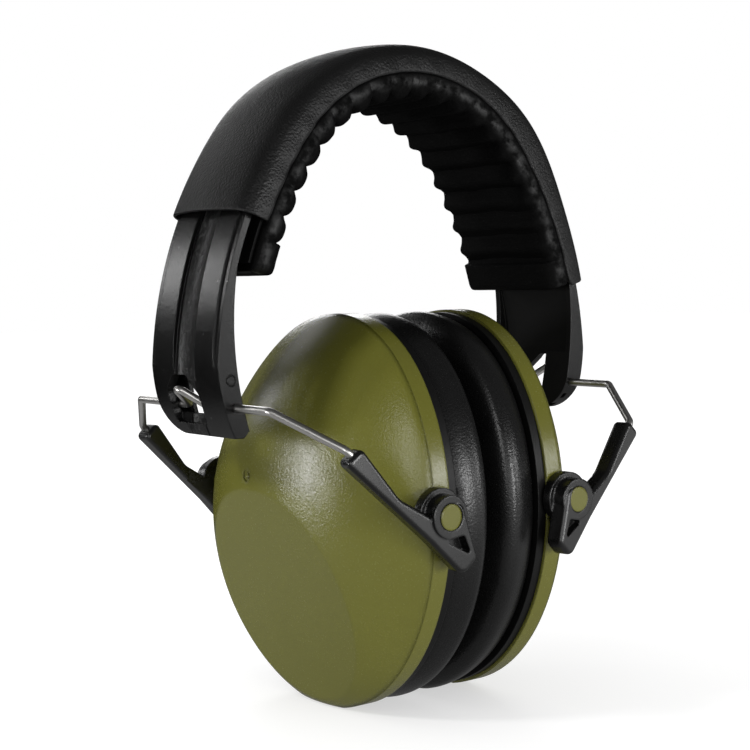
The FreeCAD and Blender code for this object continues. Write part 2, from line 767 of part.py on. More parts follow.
def cushion_form(wall):
    """The cushion's crowned ring, or the foam's, which lies this wall inside it."""
    base = size("rim_reach") - size("plate_thickness") - 2 * size("layer_gap")
    crest = size("cushion_crest") + wall
    base -= (size("clip_thickness") + size("layer_gap")) if wall else 0
    depth = base - crest
    outer = [  # share of the depth from the base, and scale of the outline
        (0, 0.96),
        (0.3, 0.99),
        (0.6, 0.955),
        (0.85, 0.87),
        (0.97, 0.78),
        (1, 0.72),
    ]
    inner = [(0, 0.56), (0.5, 0.54), (0.8, 0.555), (0.95, 0.6), (1.0, 0.66)]
    skin = wall / size("rim_half_width")
    outside = [outline(-(base - share * depth), scale - skin) for share, scale in outer]
    hole = [outline(-(base - share * depth), scale + skin) for share, scale in inner]
    solid = Part.makeLoft(outside, True, False)
    return only_solid(solid.cut(Part.makeLoft(hole, True, False)))


def cushion_skin():
    """The leatherette over the foam, open at the base."""
    return only_solid(cushion_form(0).cut(cushion_form(size("cushion_wall"))).cut(clip_room()))


def clip_room():
    """The space that the clip ring takes in the cushion's base."""
    end = size("rim_reach") - size("plate_thickness") - 2 * size("layer_gap") + 1
    start = end - 1 - size("clip_thickness") - size("layer_gap")
    ring = prism(start, end, 0.9, -size("layer_gap"))
    return ring.cut(prism(start - 1, end + 1, size("plate_opening"), size("layer_gap")))


def cushion_foam():
    """The foam ring."""
    return cushion_form(size("cushion_wall") + 0.1)


def absorber_foam():
    """The sound-absorbing foam behind the ear."""
    start = size("rim_reach") + 0.2
    return only_solid(prism(start, start + size("absorber_thickness"), size("absorber_scale")))


# ---------------------------------------------------------------- the sub-parts


def mirrored(source, label, normal):
    """The mirror image of a sub-part."""
    made = doc.addObject("Part::Mirroring", label)
    made.Label = label
    made.Source = source
    made.Normal = normal
    return made


parts = [
    feature("headband_cover", headband_cover()),
    feature("headband_lining", headband_lining()),
    feature("headband_foam", headband_foam()),
    feature("headband_core", headband_core()),
    feature("headband_top_pad", headband_top_pad()),
    feature("left_slide_guide", slide_guide(-1)),
    feature("right_slide_guide", slide_guide(1)),
    arm("left_arm", False),
    arm("right_arm", True),
]
turned_round = FreeCAD.Placement(V(0, 0, 0), TURN)
parts.append(feature("left_wire", wire_yoke()))
parts.append(feature("right_wire", wire_yoke(), turned_round))
front_lever = feature("left_front_lever", lever_solid())
rear_lever = mirrored(front_lever, "left_rear_lever", ALONG)
parts += [
    front_lever,
    rear_lever,
    mirrored(front_lever, "right_front_lever", V(1, 0, 0)),
    mirrored(rear_lever, "right_rear_lever", V(1, 0, 0)),
]
cup = [
    feature("left_cup_shell", cup_shell()),
    rim_ring("left_rim_ring"),
    feature("left_back_plate", back_plate()),
    feature("left_cushion_clip", clip_ring()),
    feature("left_cushion_foam", cushion_foam()),
    feature("left_cushion_skin", cushion_skin()),
    feature("left_absorber_foam", absorber_foam()),
]
parts += cup
parts += [mirrored(piece, "right" + piece.Label[4:], V(1, 0, 0)) for piece in cup]

doc.recompute()
for item in doc.Objects:
    if "Invalid" in item.State or "Error" in item.State:
        raise ValueError(f"{item.Label} failed")
for item in parts:
    shape = item.Shape
    if shape.isNull() or not shape.isValid() or len(shape.Solids) != 1 or shape.Volume <= 0:
        raise ValueError(f"{item.Label} is not one valid solid")

os.makedirs("parts", exist_ok=True)
for item in parts:
    item.Shape.exportStep(f"parts/{item.Label}.step")
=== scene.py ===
import math

import bpy
import numpy as np
from mathutils import Matrix, Vector


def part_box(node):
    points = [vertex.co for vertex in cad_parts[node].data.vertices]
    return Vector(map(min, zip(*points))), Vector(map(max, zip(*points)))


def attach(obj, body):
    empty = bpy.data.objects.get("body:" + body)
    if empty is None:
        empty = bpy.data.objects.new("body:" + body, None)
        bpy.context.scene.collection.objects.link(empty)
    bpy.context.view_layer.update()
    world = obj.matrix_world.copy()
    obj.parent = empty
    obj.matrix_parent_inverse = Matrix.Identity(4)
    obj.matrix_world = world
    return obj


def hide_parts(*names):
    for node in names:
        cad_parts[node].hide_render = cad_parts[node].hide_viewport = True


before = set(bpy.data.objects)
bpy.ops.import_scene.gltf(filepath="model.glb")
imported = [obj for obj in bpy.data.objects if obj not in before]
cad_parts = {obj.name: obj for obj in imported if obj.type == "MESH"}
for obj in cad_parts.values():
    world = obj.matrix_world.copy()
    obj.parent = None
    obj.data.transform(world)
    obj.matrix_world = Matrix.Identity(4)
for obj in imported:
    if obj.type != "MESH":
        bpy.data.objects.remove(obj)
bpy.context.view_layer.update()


# ---------------------------------------------------------------- the spring core and the slide guides
# A thin strip of black nylon springs the band on to the head. A trough is welded to each of its ends,
# and an arm slides in each. Both are hidden under the leatherette except at the sleeve's mouths.


class Value:
    """A socket's value that takes part in sums."""

    def __init__(self, tree, socket):
        self.tree, self.socket = tree, socket

    def maths(self, operation, *others):
        """This value, or this one and others, put through a Math node."""
        return self.tree.maths(operation, self, *others)

    def __add__(self, other):
        return self.maths("ADD", other)

    def __sub__(self, other):
        return self.maths("SUBTRACT", other)

    def __rsub__(self, other):
        return self.tree.maths("SUBTRACT", other, self)

    def __mul__(self, other):
        return self.maths("MULTIPLY", other)

    def __truediv__(self, other):
        return self.maths("DIVIDE", other)

    def __pow__(self, other):
        return self.maths("POWER", other)

    def __gt__(self, other):
        return self.maths("GREATER_THAN", other)

    def __lt__(self, other):
        return self.maths("LESS_THAN", other)

    __radd__ = __add__
    __rmul__ = __mul__


class Tree:
    """A node tree that is built one node at a time."""

    def __init__(self, tree):
        self.tree = tree
        tree.nodes.clear()

    def node(self, kind, settings=None, sockets=None):
        """Add a node: its settings first, then the values or links of its sockets. Returns its outputs."""
        made = self.tree.nodes.new(kind)
        for name, value in (settings or {}).items():
            setattr(made, name, value)
        for key, value in (sockets or {}).items():
            if isinstance(value, Value):
                self.tree.links.new(value.socket, made.inputs[key])
            elif value is not None:
                made.inputs[key].default_value = value
        return [Value(self, output) for output in made.outputs]

    def maths(self, operation, *terms):
        """The result of a Math node on values or numbers."""
        return self.node("ShaderNodeMath", {"operation": operation}, dict(enumerate(terms)))[0]


class Finish(Tree):
    """One material. What is the same all over the surface is given once, on the shader itself."""

    def __init__(self, name, **uniform):
        self.material = bpy.data.materials.new(name)
        self.material.use_nodes = True
        super().__init__(self.material.node_tree)
        self.shader = self.tree.nodes.new("ShaderNodeBsdfPrincipled")
        for key, value in uniform.items():
            self.shader.inputs[key.replace("_", " ")].default_value = value
        self.surface = self.tree.nodes.new("ShaderNodeOutputMaterial").inputs[0]
        self.tree.links.new(self.shader.outputs[0], self.surface)
        coordinates = self.node("ShaderNodeTexCoord")
        self.facing, self.place = coordinates[1], coordinates[3]

    def feed(self, **sockets):
        """Link values to the shader's sockets."""
        for key, value in sockets.items():
            self.tree.links.new(value.socket, self.shader.inputs[key.replace("_", " ")])

    def fed(self, socket):
        """What is linked to a socket of the shader so far, so that more can be done to it."""
        return Value(self, self.shader.inputs[socket].links[0].from_socket)

    def noise(self, size, detail, roughness=0.5):
        """Cloudy noise from 0 to 1, with features of this size in metres."""
        sockets = {"Vector": self.place, "Scale": 1 / size, "Detail": detail, "Roughness": roughness}
        return self.node("ShaderNodeTexNoise", {}, sockets)[0]

    def cells(self, size, feature="F1"):
        """The distance to the nearest of many scattered points, this far apart in metres."""
        sockets = {"Vector": self.place, "Scale": 1 / size}
        return self.node("ShaderNodeTexVoronoi", {"feature": feature}, sockets)[0]

    def step(self, value, low, high):
        """0 below the low value and 1 above the high one, with a smooth rise between them."""
        sockets = {"Value": value, "From Min": low, "From Max": high}
        return self.node("ShaderNodeMapRange", {"interpolation_type": "SMOOTHSTEP"}, sockets)[0]

    def between(self, share, first, second):
        """A colour between two others, each written or linked."""
        first, second = [(*c, 1) if isinstance(c, tuple) else c for c in (first, second)]
        settings = {"data_type": "RGBA", "clamp_factor": True}
        return self.node("ShaderNodeMix", settings, {0: share, 6: first, 7: second})[2]

    def bump(self, height, depth, strength, normal=None):
        """A normal bent by a height, which is this deep in metres where the height is 1."""
        sockets = {"Strength": strength, "Distance": depth, "Height": height, "Normal": normal}
        return self.node("ShaderNodeBump", {}, sockets)[0]

    def soft_edges(self, radius):
        """The normal with every edge rounded by this radius in metres."""
        return self.node("ShaderNodeBevel", {"samples": 6}, {"Radius": radius})[0]


def finish_nodes(finish, *nodes):
    """Give CAD nodes a material."""
    for name in nodes:
        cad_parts[name].data.materials.clear()
        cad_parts[name].data.materials.append(finish.material)


def grey(level):
    """A neutral colour, from 0 for black to 1 for white."""
    return (level, level, level)


def moulded_plastic(name, dark, light, roughness, edge, specular, dust=0.0, grain=0.00002):
    """Injection-moulded plastic: faint flow in its colour, fine grain, rounded edges and a little dust.

    The edge's radius and the grain's depth are in metres. Dust is from 0 for none to 1."""
    plastic = Finish(name, Specular_IOR_Level=specular)
    flow = plastic.noise(0.012, 4)
    fine = plastic.noise(0.0007, 4, 0.65)
    shade = plastic.between(flow * 0.6 + fine * 0.3 - 0.05, dark, light)
    if dust:
        off_speck = plastic.step(plastic.cells(0.0021), 0.03, 0.09)
        dusty = plastic.step(plastic.noise(0.004, 2), 0.56, 0.66)
        shade = plastic.between((1 - off_speck) * dusty * dust, shade, grey(0.5))
    rough = roughness + (flow - 0.5) * 0.12 + (fine - 0.5) * 0.1
    plastic.feed(Base_Color=shade, Roughness=rough)
    plastic.feed(Normal=plastic.bump(fine, grain, 0.6, plastic.soft_edges(edge)))
    return plastic


core_nylon = moulded_plastic(
    "core_nylon", grey(0.004), grey(0.010), roughness=0.5, edge=0.0002, specular=0.2
)
finish_nodes(core_nylon, "headband_core", "left_slide_guide", "right_slide_guide")


# ---------------------------------------------------------------- the foam in the band
# A thin strip of open-cell foam lies on the core over the head's crown, under the sleeve. The thick
# strip on the head side is sewn into the ribbed lining, and made with it.


def cell_foam(name, dark, light, cell):
    """Open-cell foam: small pores this wide in metres, darkened as painted shade, in a dull web."""
    foam = Finish(name, Roughness=0.95, Specular_IOR_Level=0.2)
    pores = foam.step(foam.cells(cell), 0.2, 0.62)
    lumps = foam.noise(cell * 5, 4, 0.6)
    # Painted shade: the pores, which the bump sinks, are darker in colour
    foam.feed(Base_Color=foam.between(pores * (0.55 + lumps * 0.5), dark, light))
    foam.feed(Normal=foam.bump(pores + lumps, 0.0003, 0.9))
    return foam


def loose_copy(node, name):
    """A copy of a CAD node's mesh, whose loose triangles a weld joins at their corners."""
    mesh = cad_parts[node].data.copy()
    mesh.materials.clear()
    made = bpy.data.objects.new(name, mesh)
    bpy.context.scene.collection.objects.link(made)
    weld = made.modifiers.new("weld", "WELD")
    weld.merge_threshold = 0.000002
    return made


def applied(piece):
    """Make the result of a piece's modifiers its own mesh."""
    graph = bpy.context.evaluated_depsgraph_get()
    mesh = bpy.data.meshes.new_from_object(piece.evaluated_get(graph))
    piece.modifiers.clear()
    piece.data = mesh
    for face in mesh.polygons:
        face.use_smooth = True
    return piece


def cut_foam(node, name, body, finish, grain, lump, pressed=0.0003):
    """A piece of cut foam in its CAD solid's place: soft-edged, uneven like torn cells, pressed in a little.

    The grain is its mesh's step, the lump the size of its unevenness, and all three sizes are in metres."""
    piece = loose_copy(node, name)
    remesh = piece.modifiers.new("remesh", "REMESH")
    remesh.mode = "VOXEL"
    remesh.voxel_size = grain
    soften = piece.modifiers.new("soften", "SMOOTH")
    soften.iterations = 4
    soften.factor = 0.5
    clouds = bpy.data.textures.new(name + "_clouds", "CLOUDS")
    clouds.noise_scale = lump
    clouds.noise_depth = 3
    uneven = piece.modifiers.new("uneven", "DISPLACE")
    uneven.texture = clouds
    uneven.texture_coords = "LOCAL"
    uneven.strength = 0.0006
    uneven.mid_level = 0.5 + pressed / uneven.strength
    applied(piece)
    piece.data.materials.append(finish.material)
    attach(piece, body)
    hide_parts(node)


band_foam = cell_foam("band_foam", grey(0.02), grey(0.10), cell=0.0008)
cut_foam(
    "headband_top_pad", "top_pad", "headband", band_foam, grain=0.001, lump=0.004, pressed=0.001
)


# ---------------------------------------------------------------- the leatherette sleeve
# The outside of the band: a sleeve of black leatherette that is folded down over both edges of the core
# and welded to the lining along a seam. Its ends are open mouths with a turned hem, where the arms go in.

MILLI = 0.001
PINS_UP = 54.516 * MILLI  # the cups' pins above the floor
# The seam line is three arcs: a tight one over the crown, and a wide one down each side
SEAM_RADIUS = 102.6 * MILLI  # of the side arcs, where the sleeve meets the lining
SIDE_IN = 46.5 * MILLI  # from the middle plane to a side arc's centre, on the far side
SIDE_UP = PINS_UP + 29.3 * MILLI
TOP_OFFSET = 58.35 * MILLI  # by which the top arc's radius is smaller
TOP_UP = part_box("headband_cover")[1].z - 51.75 * MILLI
TOP_HALF = math.radians(90 - 37.164)  # half the turn of the top arc
TOP_RUN = (SEAM_RADIUS - TOP_OFFSET) * TOP_HALF  # and half its length


def seam_distance(side, angle):
    """How far along the seam from the crown an angle of a side arc lies. side is -1 for the left."""
    return side * (TOP_RUN + SEAM_RADIUS * (math.radians(90 - angle) - TOP_HALF))


def on_band(along, across, out):
    """Points of the band: along the seam line from the crown, across it, and outwards from it."""
    side = np.sign(along)
    beyond = np.abs(along) > TOP_RUN
    turn_top = along / (SEAM_RADIUS - TOP_OFFSET)
    turn_side = side * (TOP_HALF + (np.abs(along) - TOP_RUN) / SEAM_RADIUS)
    turn = np.where(beyond, turn_side, turn_top)
    radius = np.where(beyond, SEAM_RADIUS, SEAM_RADIUS - TOP_OFFSET) + out
    x = np.where(beyond, -side * SIDE_IN, 0) + np.sin(turn) * radius
    z = np.where(beyond, SIDE_UP, TOP_UP) + np.cos(turn) * radius
    return np.stack([x, across + 0 * x, z], -1)


def evenly(points, count):
    """The same line through more points, evenly spaced, with its corners cut three times over."""
    points = np.array(points, float)
    for _ in range(3):
        cut = [points[0]]
        for first, second in zip(points, points[1:]):
            cut += [first * 0.75 + second * 0.25, first * 0.25 + second * 0.75]
        points = np.array(cut + [points[-1]])
    run = np.concatenate([[0], np.cumsum(np.linalg.norm(np.diff(points, axis=0), axis=1))])
    places = np.linspace(0, run[-1], count)
    return np.stack([np.interp(places, run, points[:, k]) for k in (0, 1)], -1)


def whole_section(half_section, count):
    """A U from one edge to the other, from the half of it that runs from the edge to the middle."""
    right_half = evenly(half_section, count) * MILLI
    left_half = right_half * (-1, 1)
    return np.concatenate([left_half, right_half[::-1][1:]])


def face_out(mesh):
    """Turn a closed mesh's faces outwards."""
    volume = 0.0
    for face in mesh.polygons:
        points = [mesh.vertices[v].co for v in face.vertices]
        for a, b in zip(points[1:], points[2:]):
            volume += points[0].dot(a.cross(b))
    if volume < 0:
        mesh.flip_normals()


def swept(name, rows, closed_ends=True):
    """A closed piece from rows of points round its section, one row for each step along it."""
    count, ring = rows.shape[:2]
    faces = []
    for i in range(count - 1):
        for j in range(ring):
            k = (j + 1) % ring
            faces.append((i * ring + j, i * ring + k, (i + 1) * ring + k, (i + 1) * ring + j))
    if closed_ends:
        faces.append(tuple(reversed(range(ring))))
        faces.append(tuple((count - 1) * ring + j for j in range(ring)))
    mesh = bpy.data.meshes.new(name)
    mesh.from_pydata(rows.reshape(-1, 3).tolist(), [], faces)
    mesh.update()
    face_out(mesh)
    made = bpy.data.objects.new(name, mesh)
    bpy.context.scene.collection.objects.link(made)
    for face in mesh.polygons:
        face.use_smooth = True
    return made


def leatherette(name, dark, light, roughness, grain, depth, specular, **uniform):
    """Coated fabric: a pebbled grain of this size and depth in metres, with finer pits and wider creases."""
    cloth = Finish(name, Specular_IOR_Level=specular, **uniform)
    pebbles = cloth.cells(grain, "SMOOTH_F1")
    pits = cloth.noise(grain * 0.9, 2, 0.6)
    creases = cloth.noise(grain * 7, 3, 0.6)
    broad = cloth.noise(0.014, 3)
    cloth.feed(Base_Color=cloth.between(pebbles * 0.5 + broad * 0.5, dark, light))
    cloth.feed(Roughness=roughness + (broad - 0.5) * 0.12 + (pits - 0.5) * 0.2)
    cloth.feed(Normal=cloth.bump(pits * 0.8 + creases * 0.5 - pebbles, depth, 0.9))
    return cloth


SLEEVE_ENDS = seam_distance(-1, 23.6), seam_distance(1, 13.4)
SLEEVE_WALL = 0.8 * MILLI
SLEEVE_STEPS = 420
HEM = 0.4  # millimetres, the radius of the rounded edge of its mouths
PUCKER_REACH = 5.5 * MILLI  # from the seam up the sides
SIDE_HEIGHT = 4 * MILLI  # over which the swell and the waves grow from the seam to the back
CORNER_HEIGHT = 3 * MILLI  # from the seam, over which the right end's corners are rounded off
# Half of its section, from the seam to the middle: (across, out) in millimetres
SLEEVE_HALF_SECTION = [
    (18.25, 0.0), (18.3, 0.6), (18.25, 1.8), (18.05, 3.2), (17.7, 4.7), (16.9, 6.0), (15.5, 6.9),
    (13.0, 7.55), (9.0, 8.05), (4.5, 8.35), (0.0, 8.45),
]
SWELL_HEIGHT = 2.0 * MILLI  # of the rise over the right arm's hidden tip
SWELL_MIDDLE = 44 * MILLI  # along the seam from the crown
SWELL_REACH = 19 * MILLI
END_CORNER = 2.6 * MILLI  # the radius of the corners at the ends of the band
RIB_PITCH = 7.5 * MILLI  # of the lining's ribs, which pull on the seam


def corner_inset(distance):
    """How far a corner's rounding stands back, this far from the end."""
    short = max(END_CORNER - distance, 0)
    return END_CORNER - math.sqrt(max(END_CORNER**2 - short**2, 0))


def sleeve_places():
    """Where the sleeve's section goes along the seam, and the share of its wall there: less at the hems."""
    hem = np.linspace(math.pi / 2, 0.2, 5)
    left, right = SLEEVE_ENDS
    places = [(left + (HEM - math.sin(t) * HEM) * MILLI, math.cos(t)) for t in hem]
    places += [(along, 1.0) for along in np.linspace(left, right, SLEEVE_STEPS)[2:-2]]
    return places + [(right - (HEM - math.sin(t) * HEM) * MILLI, math.cos(t)) for t in hem[::-1]]


def sleeve_rows():
    """The sleeve's section at each step, puckered a little where the lining's ribs pull on the seam."""
    outer = whole_section(SLEEVE_HALF_SECTION, 34)
    way = np.gradient(outer, axis=0)
    way /= np.linalg.norm(way, axis=1, keepdims=True)
    inner = outer + np.stack([way[:, 1], -way[:, 0]], -1) * SLEEVE_WALL
    inner[:, 1] = np.maximum(inner[:, 1], 0)
    loop = np.concatenate([outer, inner[::-1]])
    middle = np.concatenate([(outer + inner) / 2, ((outer + inner) / 2)[::-1]])
    rows = []
    for along, share in sleeve_places():
        section = middle + (loop - middle) * max(share, 0.03)
        across, out = section[:, 0], section[:, 1]
        # Puckers at the seam: one for each rib, and slower ones that are not in step with them
        near_seam = np.clip(1 - out / PUCKER_REACH, 0, 1) ** 1.5
        pull = math.sin(2 * math.pi * along / RIB_PITCH) * 0.12 + math.sin(along * 391 + 2) * 0.08
        across -= np.sign(across) * near_seam * pull * MILLI
        # Slow waves of a tenth of a millimetre on the back, and the swell over the arm's tip
        wave = math.sin(along * 173 + 1) * 0.07 + math.sin(along * 97) * 0.1
        swell = SWELL_HEIGHT * math.exp(-(((along - SWELL_MIDDLE) / SWELL_REACH) ** 2))
        out += (swell + wave * MILLI) * np.clip(out / SIDE_HEIGHT, 0, 1)
        inset = corner_inset(SLEEVE_ENDS[1] - along)
        out += inset * 0.6 * np.clip(1 - out / CORNER_HEIGHT, 0, 1)
        rows.append(on_band(np.full(len(loop), along), across, out))
    return np.array(rows)


sleeve = swept("sleeve", sleeve_rows())
sleeve_hide = leatherette(
    "sleeve_hide", grey(0.003), grey(0.009), roughness=0.44, grain=0.00055, depth=0.00013, specular=0.3
)
sleeve.data.materials.append(sleeve_hide.material)
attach(sleeve, "headband")
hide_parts("headband_cover")


# ---------------------------------------------------------------- the ribbed lining
# The head side of the band: thinner leatherette, sewn across into rows of soft ribs that let it bend.
# It is welded to the sleeve along both edges, and ends in a plain panel at each end.

LINING_ENDS = seam_distance(-1, 16.7), seam_distance(1, 13.5)
LINING_STEPS = 820
LINING_DEPTH = 6.8 * MILLI
LINING_HALF_WIDTH = 18 * MILLI
LINING_BACK = 0.1 * MILLI  # from the seam line to its flat back
HEADWARD_FROM = 3.3 * MILLI  # below the seam, where the ribs begin
HEADWARD_RISE = 2.7 * MILLI  # and over how much depth they grow to the full
GATHER_DEPTH = 2.3 * MILLI  # below the seam, where the skin is gathered most
GATHER_REACH = 2.2 * MILLI
PLAIN_END = 8.5 * MILLI
# Half of its section, from the seam to the middle: (across, in) in millimetres
LINING_HALF_SECTION = [
    (18.15, 0.1), (18.2, 0.9), (18.15, 2.2), (18.0, 3.6), (17.7, 5.0), (17.2, 5.9), (16.3, 6.5),
    (14.8, 6.75), (11.0, 6.8), (0.0, 6.8),
]


def lining_blank():
    """The lining before its ribs: a closed pad that carries three measures for them.

    They are how far along the seam a point is, how much it faces the head, and how near it is to the
    line on the edge where the skin is gathered into the seam."""
    rim = whole_section(LINING_HALF_SECTION, 40)
    back = [(y, LINING_BACK) for y in np.linspace(rim[-1, 0], rim[0, 0], 20)[1:-1]]
    loop = np.concatenate([rim, back])
    steps = np.linspace(*LINING_ENDS, LINING_STEPS)
    rows = []
    for along in steps:
        inset = corner_inset(min(along - LINING_ENDS[0], LINING_ENDS[1] - along))
        across = loop[:, 0] * (1 - inset / LINING_HALF_WIDTH)
        deep = np.minimum(loop[:, 1], np.maximum(LINING_DEPTH - inset, LINING_BACK * 1.1))
        rows.append(on_band(np.full(len(loop), along), across, -deep))
    made = swept("lining", np.array(rows))
    along = np.repeat(steps, len(loop))
    depth = np.tile(loop[:, 1], len(steps))
    is_back = np.tile(np.arange(len(loop)) >= len(rim), len(steps))
    headward = np.clip((depth - HEADWARD_FROM) / HEADWARD_RISE, 0, 1)
    gather = np.clip(1 - np.abs(depth - GATHER_DEPTH) / GATHER_REACH, 0, 1)
    for name, values in (("along", along), ("headward", headward), ("gather", gather)):
        layer = made.data.attributes.new(name, "FLOAT", "POINT")
        layer.data.foreach_set("value", np.where(is_back, 0, values).astype(np.float32))
    return made


RIB_INPUTS = {
    "Pitch": RIB_PITCH,
    "Depth": 2.3 * MILLI,
    "Crease Depth": 0.34 * MILLI,
    "Pucker Height": 0.75 * MILLI,
    "Plain End": PLAIN_END,
    "Seed": 3.7,
}


def rib_tree(finish):
    """Geometry Nodes that press sewn valleys into a padded strip, with soft ribs and creases between them."""
    group = bpy.data.node_groups.new("sewn_ribs", "GeometryNodeTree")
    group.interface.new_socket("Geometry", in_out="INPUT", socket_type="NodeSocketGeometry")
    for name in RIB_INPUTS:
        group.interface.new_socket(name, in_out="INPUT", socket_type="NodeSocketFloat")
    group.interface.new_socket("Geometry", in_out="OUTPUT", socket_type="NodeSocketGeometry")
    tree = Tree(group)
    blank, pitch, depth, crease, pucker, plain, seed = tree.node("NodeGroupInput")[:7]
    along, headward, gather = [
        tree.node("GeometryNodeInputNamedAttribute", {"data_type": "FLOAT"}, {"Name": name})[0]
        for name in ("along", "headward", "gather")
    ]
    position = tree.node("GeometryNodeInputPosition")[0]
    normal = tree.node("GeometryNodeInputNormal")[0]
    across = tree.node("ShaderNodeSeparateXYZ", {}, {0: position})[1]

    # The stitch lines wander a little, and each rib sags away from the crown
    wander_sockets = {"Vector": position, "W": seed, "Scale": 60.0, "Detail": 2.0}
    wander = tree.node("ShaderNodeTexNoise", {"noise_dimensions": "4D"}, wander_sockets)[0]
    start, end = LINING_ENDS
    wave = ((along - start - plain) / pitch + (wander - 0.5) * 0.34).maths("FRACT")
    sagged = wave - along.maths("SIGN") * (wave * (2 * math.pi)).maths("SINE") * 0.075
    full = (sagged * math.pi).maths("SINE").maths("MAXIMUM", 0.0) ** 0.8
    uneven_sockets = {"W": along * 150.0, "Scale": 1.0, "Detail": 2.0}
    uneven = tree.node("ShaderNodeTexNoise", {"noise_dimensions": "1D"}, uneven_sockets)[0]
    pressed = (1 - full) * depth * (0.66 + uneven * 0.62)

    # Fine creases run across the band, deepest in the valleys and under the crown
    line = tree.node("ShaderNodeCombineXYZ", {}, {0: along * 700.0, 1: across * 90.0})[0]
    fine_sockets = {"Vector": line, "Scale": 1.0, "Detail": 3.0, "Roughness": 0.6}
    fine = tree.node("ShaderNodeTexNoise", {}, fine_sockets)[0]
    crowded = (along * 38.0).maths("COSINE").maths("MAXIMUM", 0.0) * 1.4 + 0.8
    folds = (fine - 0.5) * crease * (1.35 - full) * crowded
    puckers = (full - 0.4) * gather * pucker

    within = (along > start + PLAIN_END) * (along < end - PLAIN_END)
    move = (folds - pressed) * headward * within + puckers * within
    soft_end = (fine - 0.5) * crease * 0.5 * headward * (1 - within)
    offset = tree.node("ShaderNodeVectorMath", {"operation": "SCALE"}, {0: normal, 3: move + soft_end})[0]
    moved = tree.node("GeometryNodeSetPosition", {}, {"Geometry": blank, "Offset": offset})[0]
    real = tree.node("GeometryNodeRealizeInstances", {}, {"Geometry": moved})[0]
    covered = tree.node("GeometryNodeSetMaterial", {}, {"Geometry": real, "Material": finish.material})[0]
    tree.node("NodeGroupOutput", {}, {"Geometry": covered})
    return group


def lining_finish():
    """Thin dull leatherette that is rubbed bright where it is gathered into the seam."""
    hide = leatherette(
        "lining_hide", grey(0.0015), grey(0.005), roughness=0.72, grain=0.0006, depth=0.00008, specular=0.03,
        Coat_Roughness=0.46,
    )
    gathered = hide.node("ShaderNodeAttribute", {"attribute_name": "gather"})[2]
    rubbed = hide.step(hide.noise(0.0036, 4, 0.6), 0.38, 0.66)
    hide.feed(Coat_Weight=gathered * rubbed * 0.9)
    return hide


lining = lining_blank()
ribs = lining.modifiers.new("ribs", "NODES")
ribs.node_group = rib_tree(lining_finish())
for socket in ribs.node_group.interface.items_tree:
    if socket.name in RIB_INPUTS:
        ribs[socket.identifier] = RIB_INPUTS[socket.name]
applied(lining)
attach(lining, "headband")
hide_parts("headband_lining", "headband_foam")


# ---------------------------------------------------------------- the arms
# Each arm is one black nylon moulding: a curved channel with a grooved back that slides in the band, and
# a curled foot with a hole in both flanges for the wire and a window for the wire's kink.

GROOVE_HALF = 4.7 * MILLI  # the groove's half width
GROOVE_DEPTH = 1.6 * MILLI


def arm_finish():
    """Black nylon: polished on the outer lands, dull in the groove, dull and painted dark as shade in the
    channel.
    """
    nylon = moulded_plastic(
        "arm_nylon", grey(0.003), grey(0.008), roughness=0.23, edge=0.0004, specular=0.26, dust=0.8,
        grain=0.00006,
    )
    x, y = nylon.node("ShaderNodeSeparateXYZ", {}, {0: nylon.place})[:2]
    outwards = nylon.node("ShaderNodeSeparateXYZ", {}, {0: nylon.facing})[0] * x.maths("SIGN")
    inside = nylon.step(0 - outwards, 0.2, 0.5)
    off_middle = y.maths("ABSOLUTE")
    groove = (1 - nylon.step(off_middle, GROOVE_HALF * 0.8, GROOVE_HALF)) * (outwards > 0.3)
    scuffs = nylon.step(nylon.noise(0.0016, 4, 0.7), 0.5, 0.62)
    nylon.feed(Roughness=nylon.fed("Roughness") + inside * 0.6 + groove * 0.16)
    # Painted shade: inside the channel the colour is darkened almost to black
    shade = nylon.between(inside * 0.9, nylon.fed("Base Color"), grey(0.0005))
    nylon.feed(Base_Color=nylon.between(groove * scuffs * 0.05, shade, grey(0.3)))
    # The groove's floor is bent to look like a round hollow
    valley = groove * (off_middle / GROOVE_HALF) ** 2 + groove * scuffs * 0.05
    nylon.feed(Normal=nylon.bump(valley, GROOVE_DEPTH, 0.8, nylon.fed("Normal")))
    return nylon


finish_nodes(arm_finish(), "left_arm", "right_arm")


# ---------------------------------------------------------------- the wire yokes
# A bent length of bright drawn spring wire carries each cup. It turns in the arm's foot, and its ends
# are pressed into the levers.


def drawn_steel():
    """Bright wire with faint draw marks."""
    steel = Finish("drawn_steel", Metallic=1.0)
    marks = steel.noise(0.0006, 4, 0.7)
    broad = steel.noise(0.006, 2)
    dull, bright = (0.5, 0.49, 0.47), (0.8, 0.79, 0.77)
    steel.feed(Base_Color=steel.between(marks * 0.6 + broad * 0.4, dull, bright))
    steel.feed(Roughness=0.24 + marks * 0.2)
    steel.feed(Normal=steel.bump(marks, 0.00002, 0.4))
    return steel


finish_nodes(drawn_steel(), "left_wire", "right_wire")


# ---------------------------------------------------------------- the levers
# Four black nylon levers join the wires to the cups' pins. Each is a rounded bar with a hub and a tail.

lever_nylon = moulded_plastic(
    "lever_nylon", grey(0.002), grey(0.008), roughness=0.28, edge=0.0007, specular=0.65, grain=0.000008
)
finish_nodes(lever_nylon, "left_front_lever", "left_rear_lever", "right_front_lever", "right_rear_lever")


# ---------------------------------------------------------------- the cups
# Each cup is a glossy olive dome with one flat facet, closed by a rim of the same plastic whose two pins
# the levers turn on.


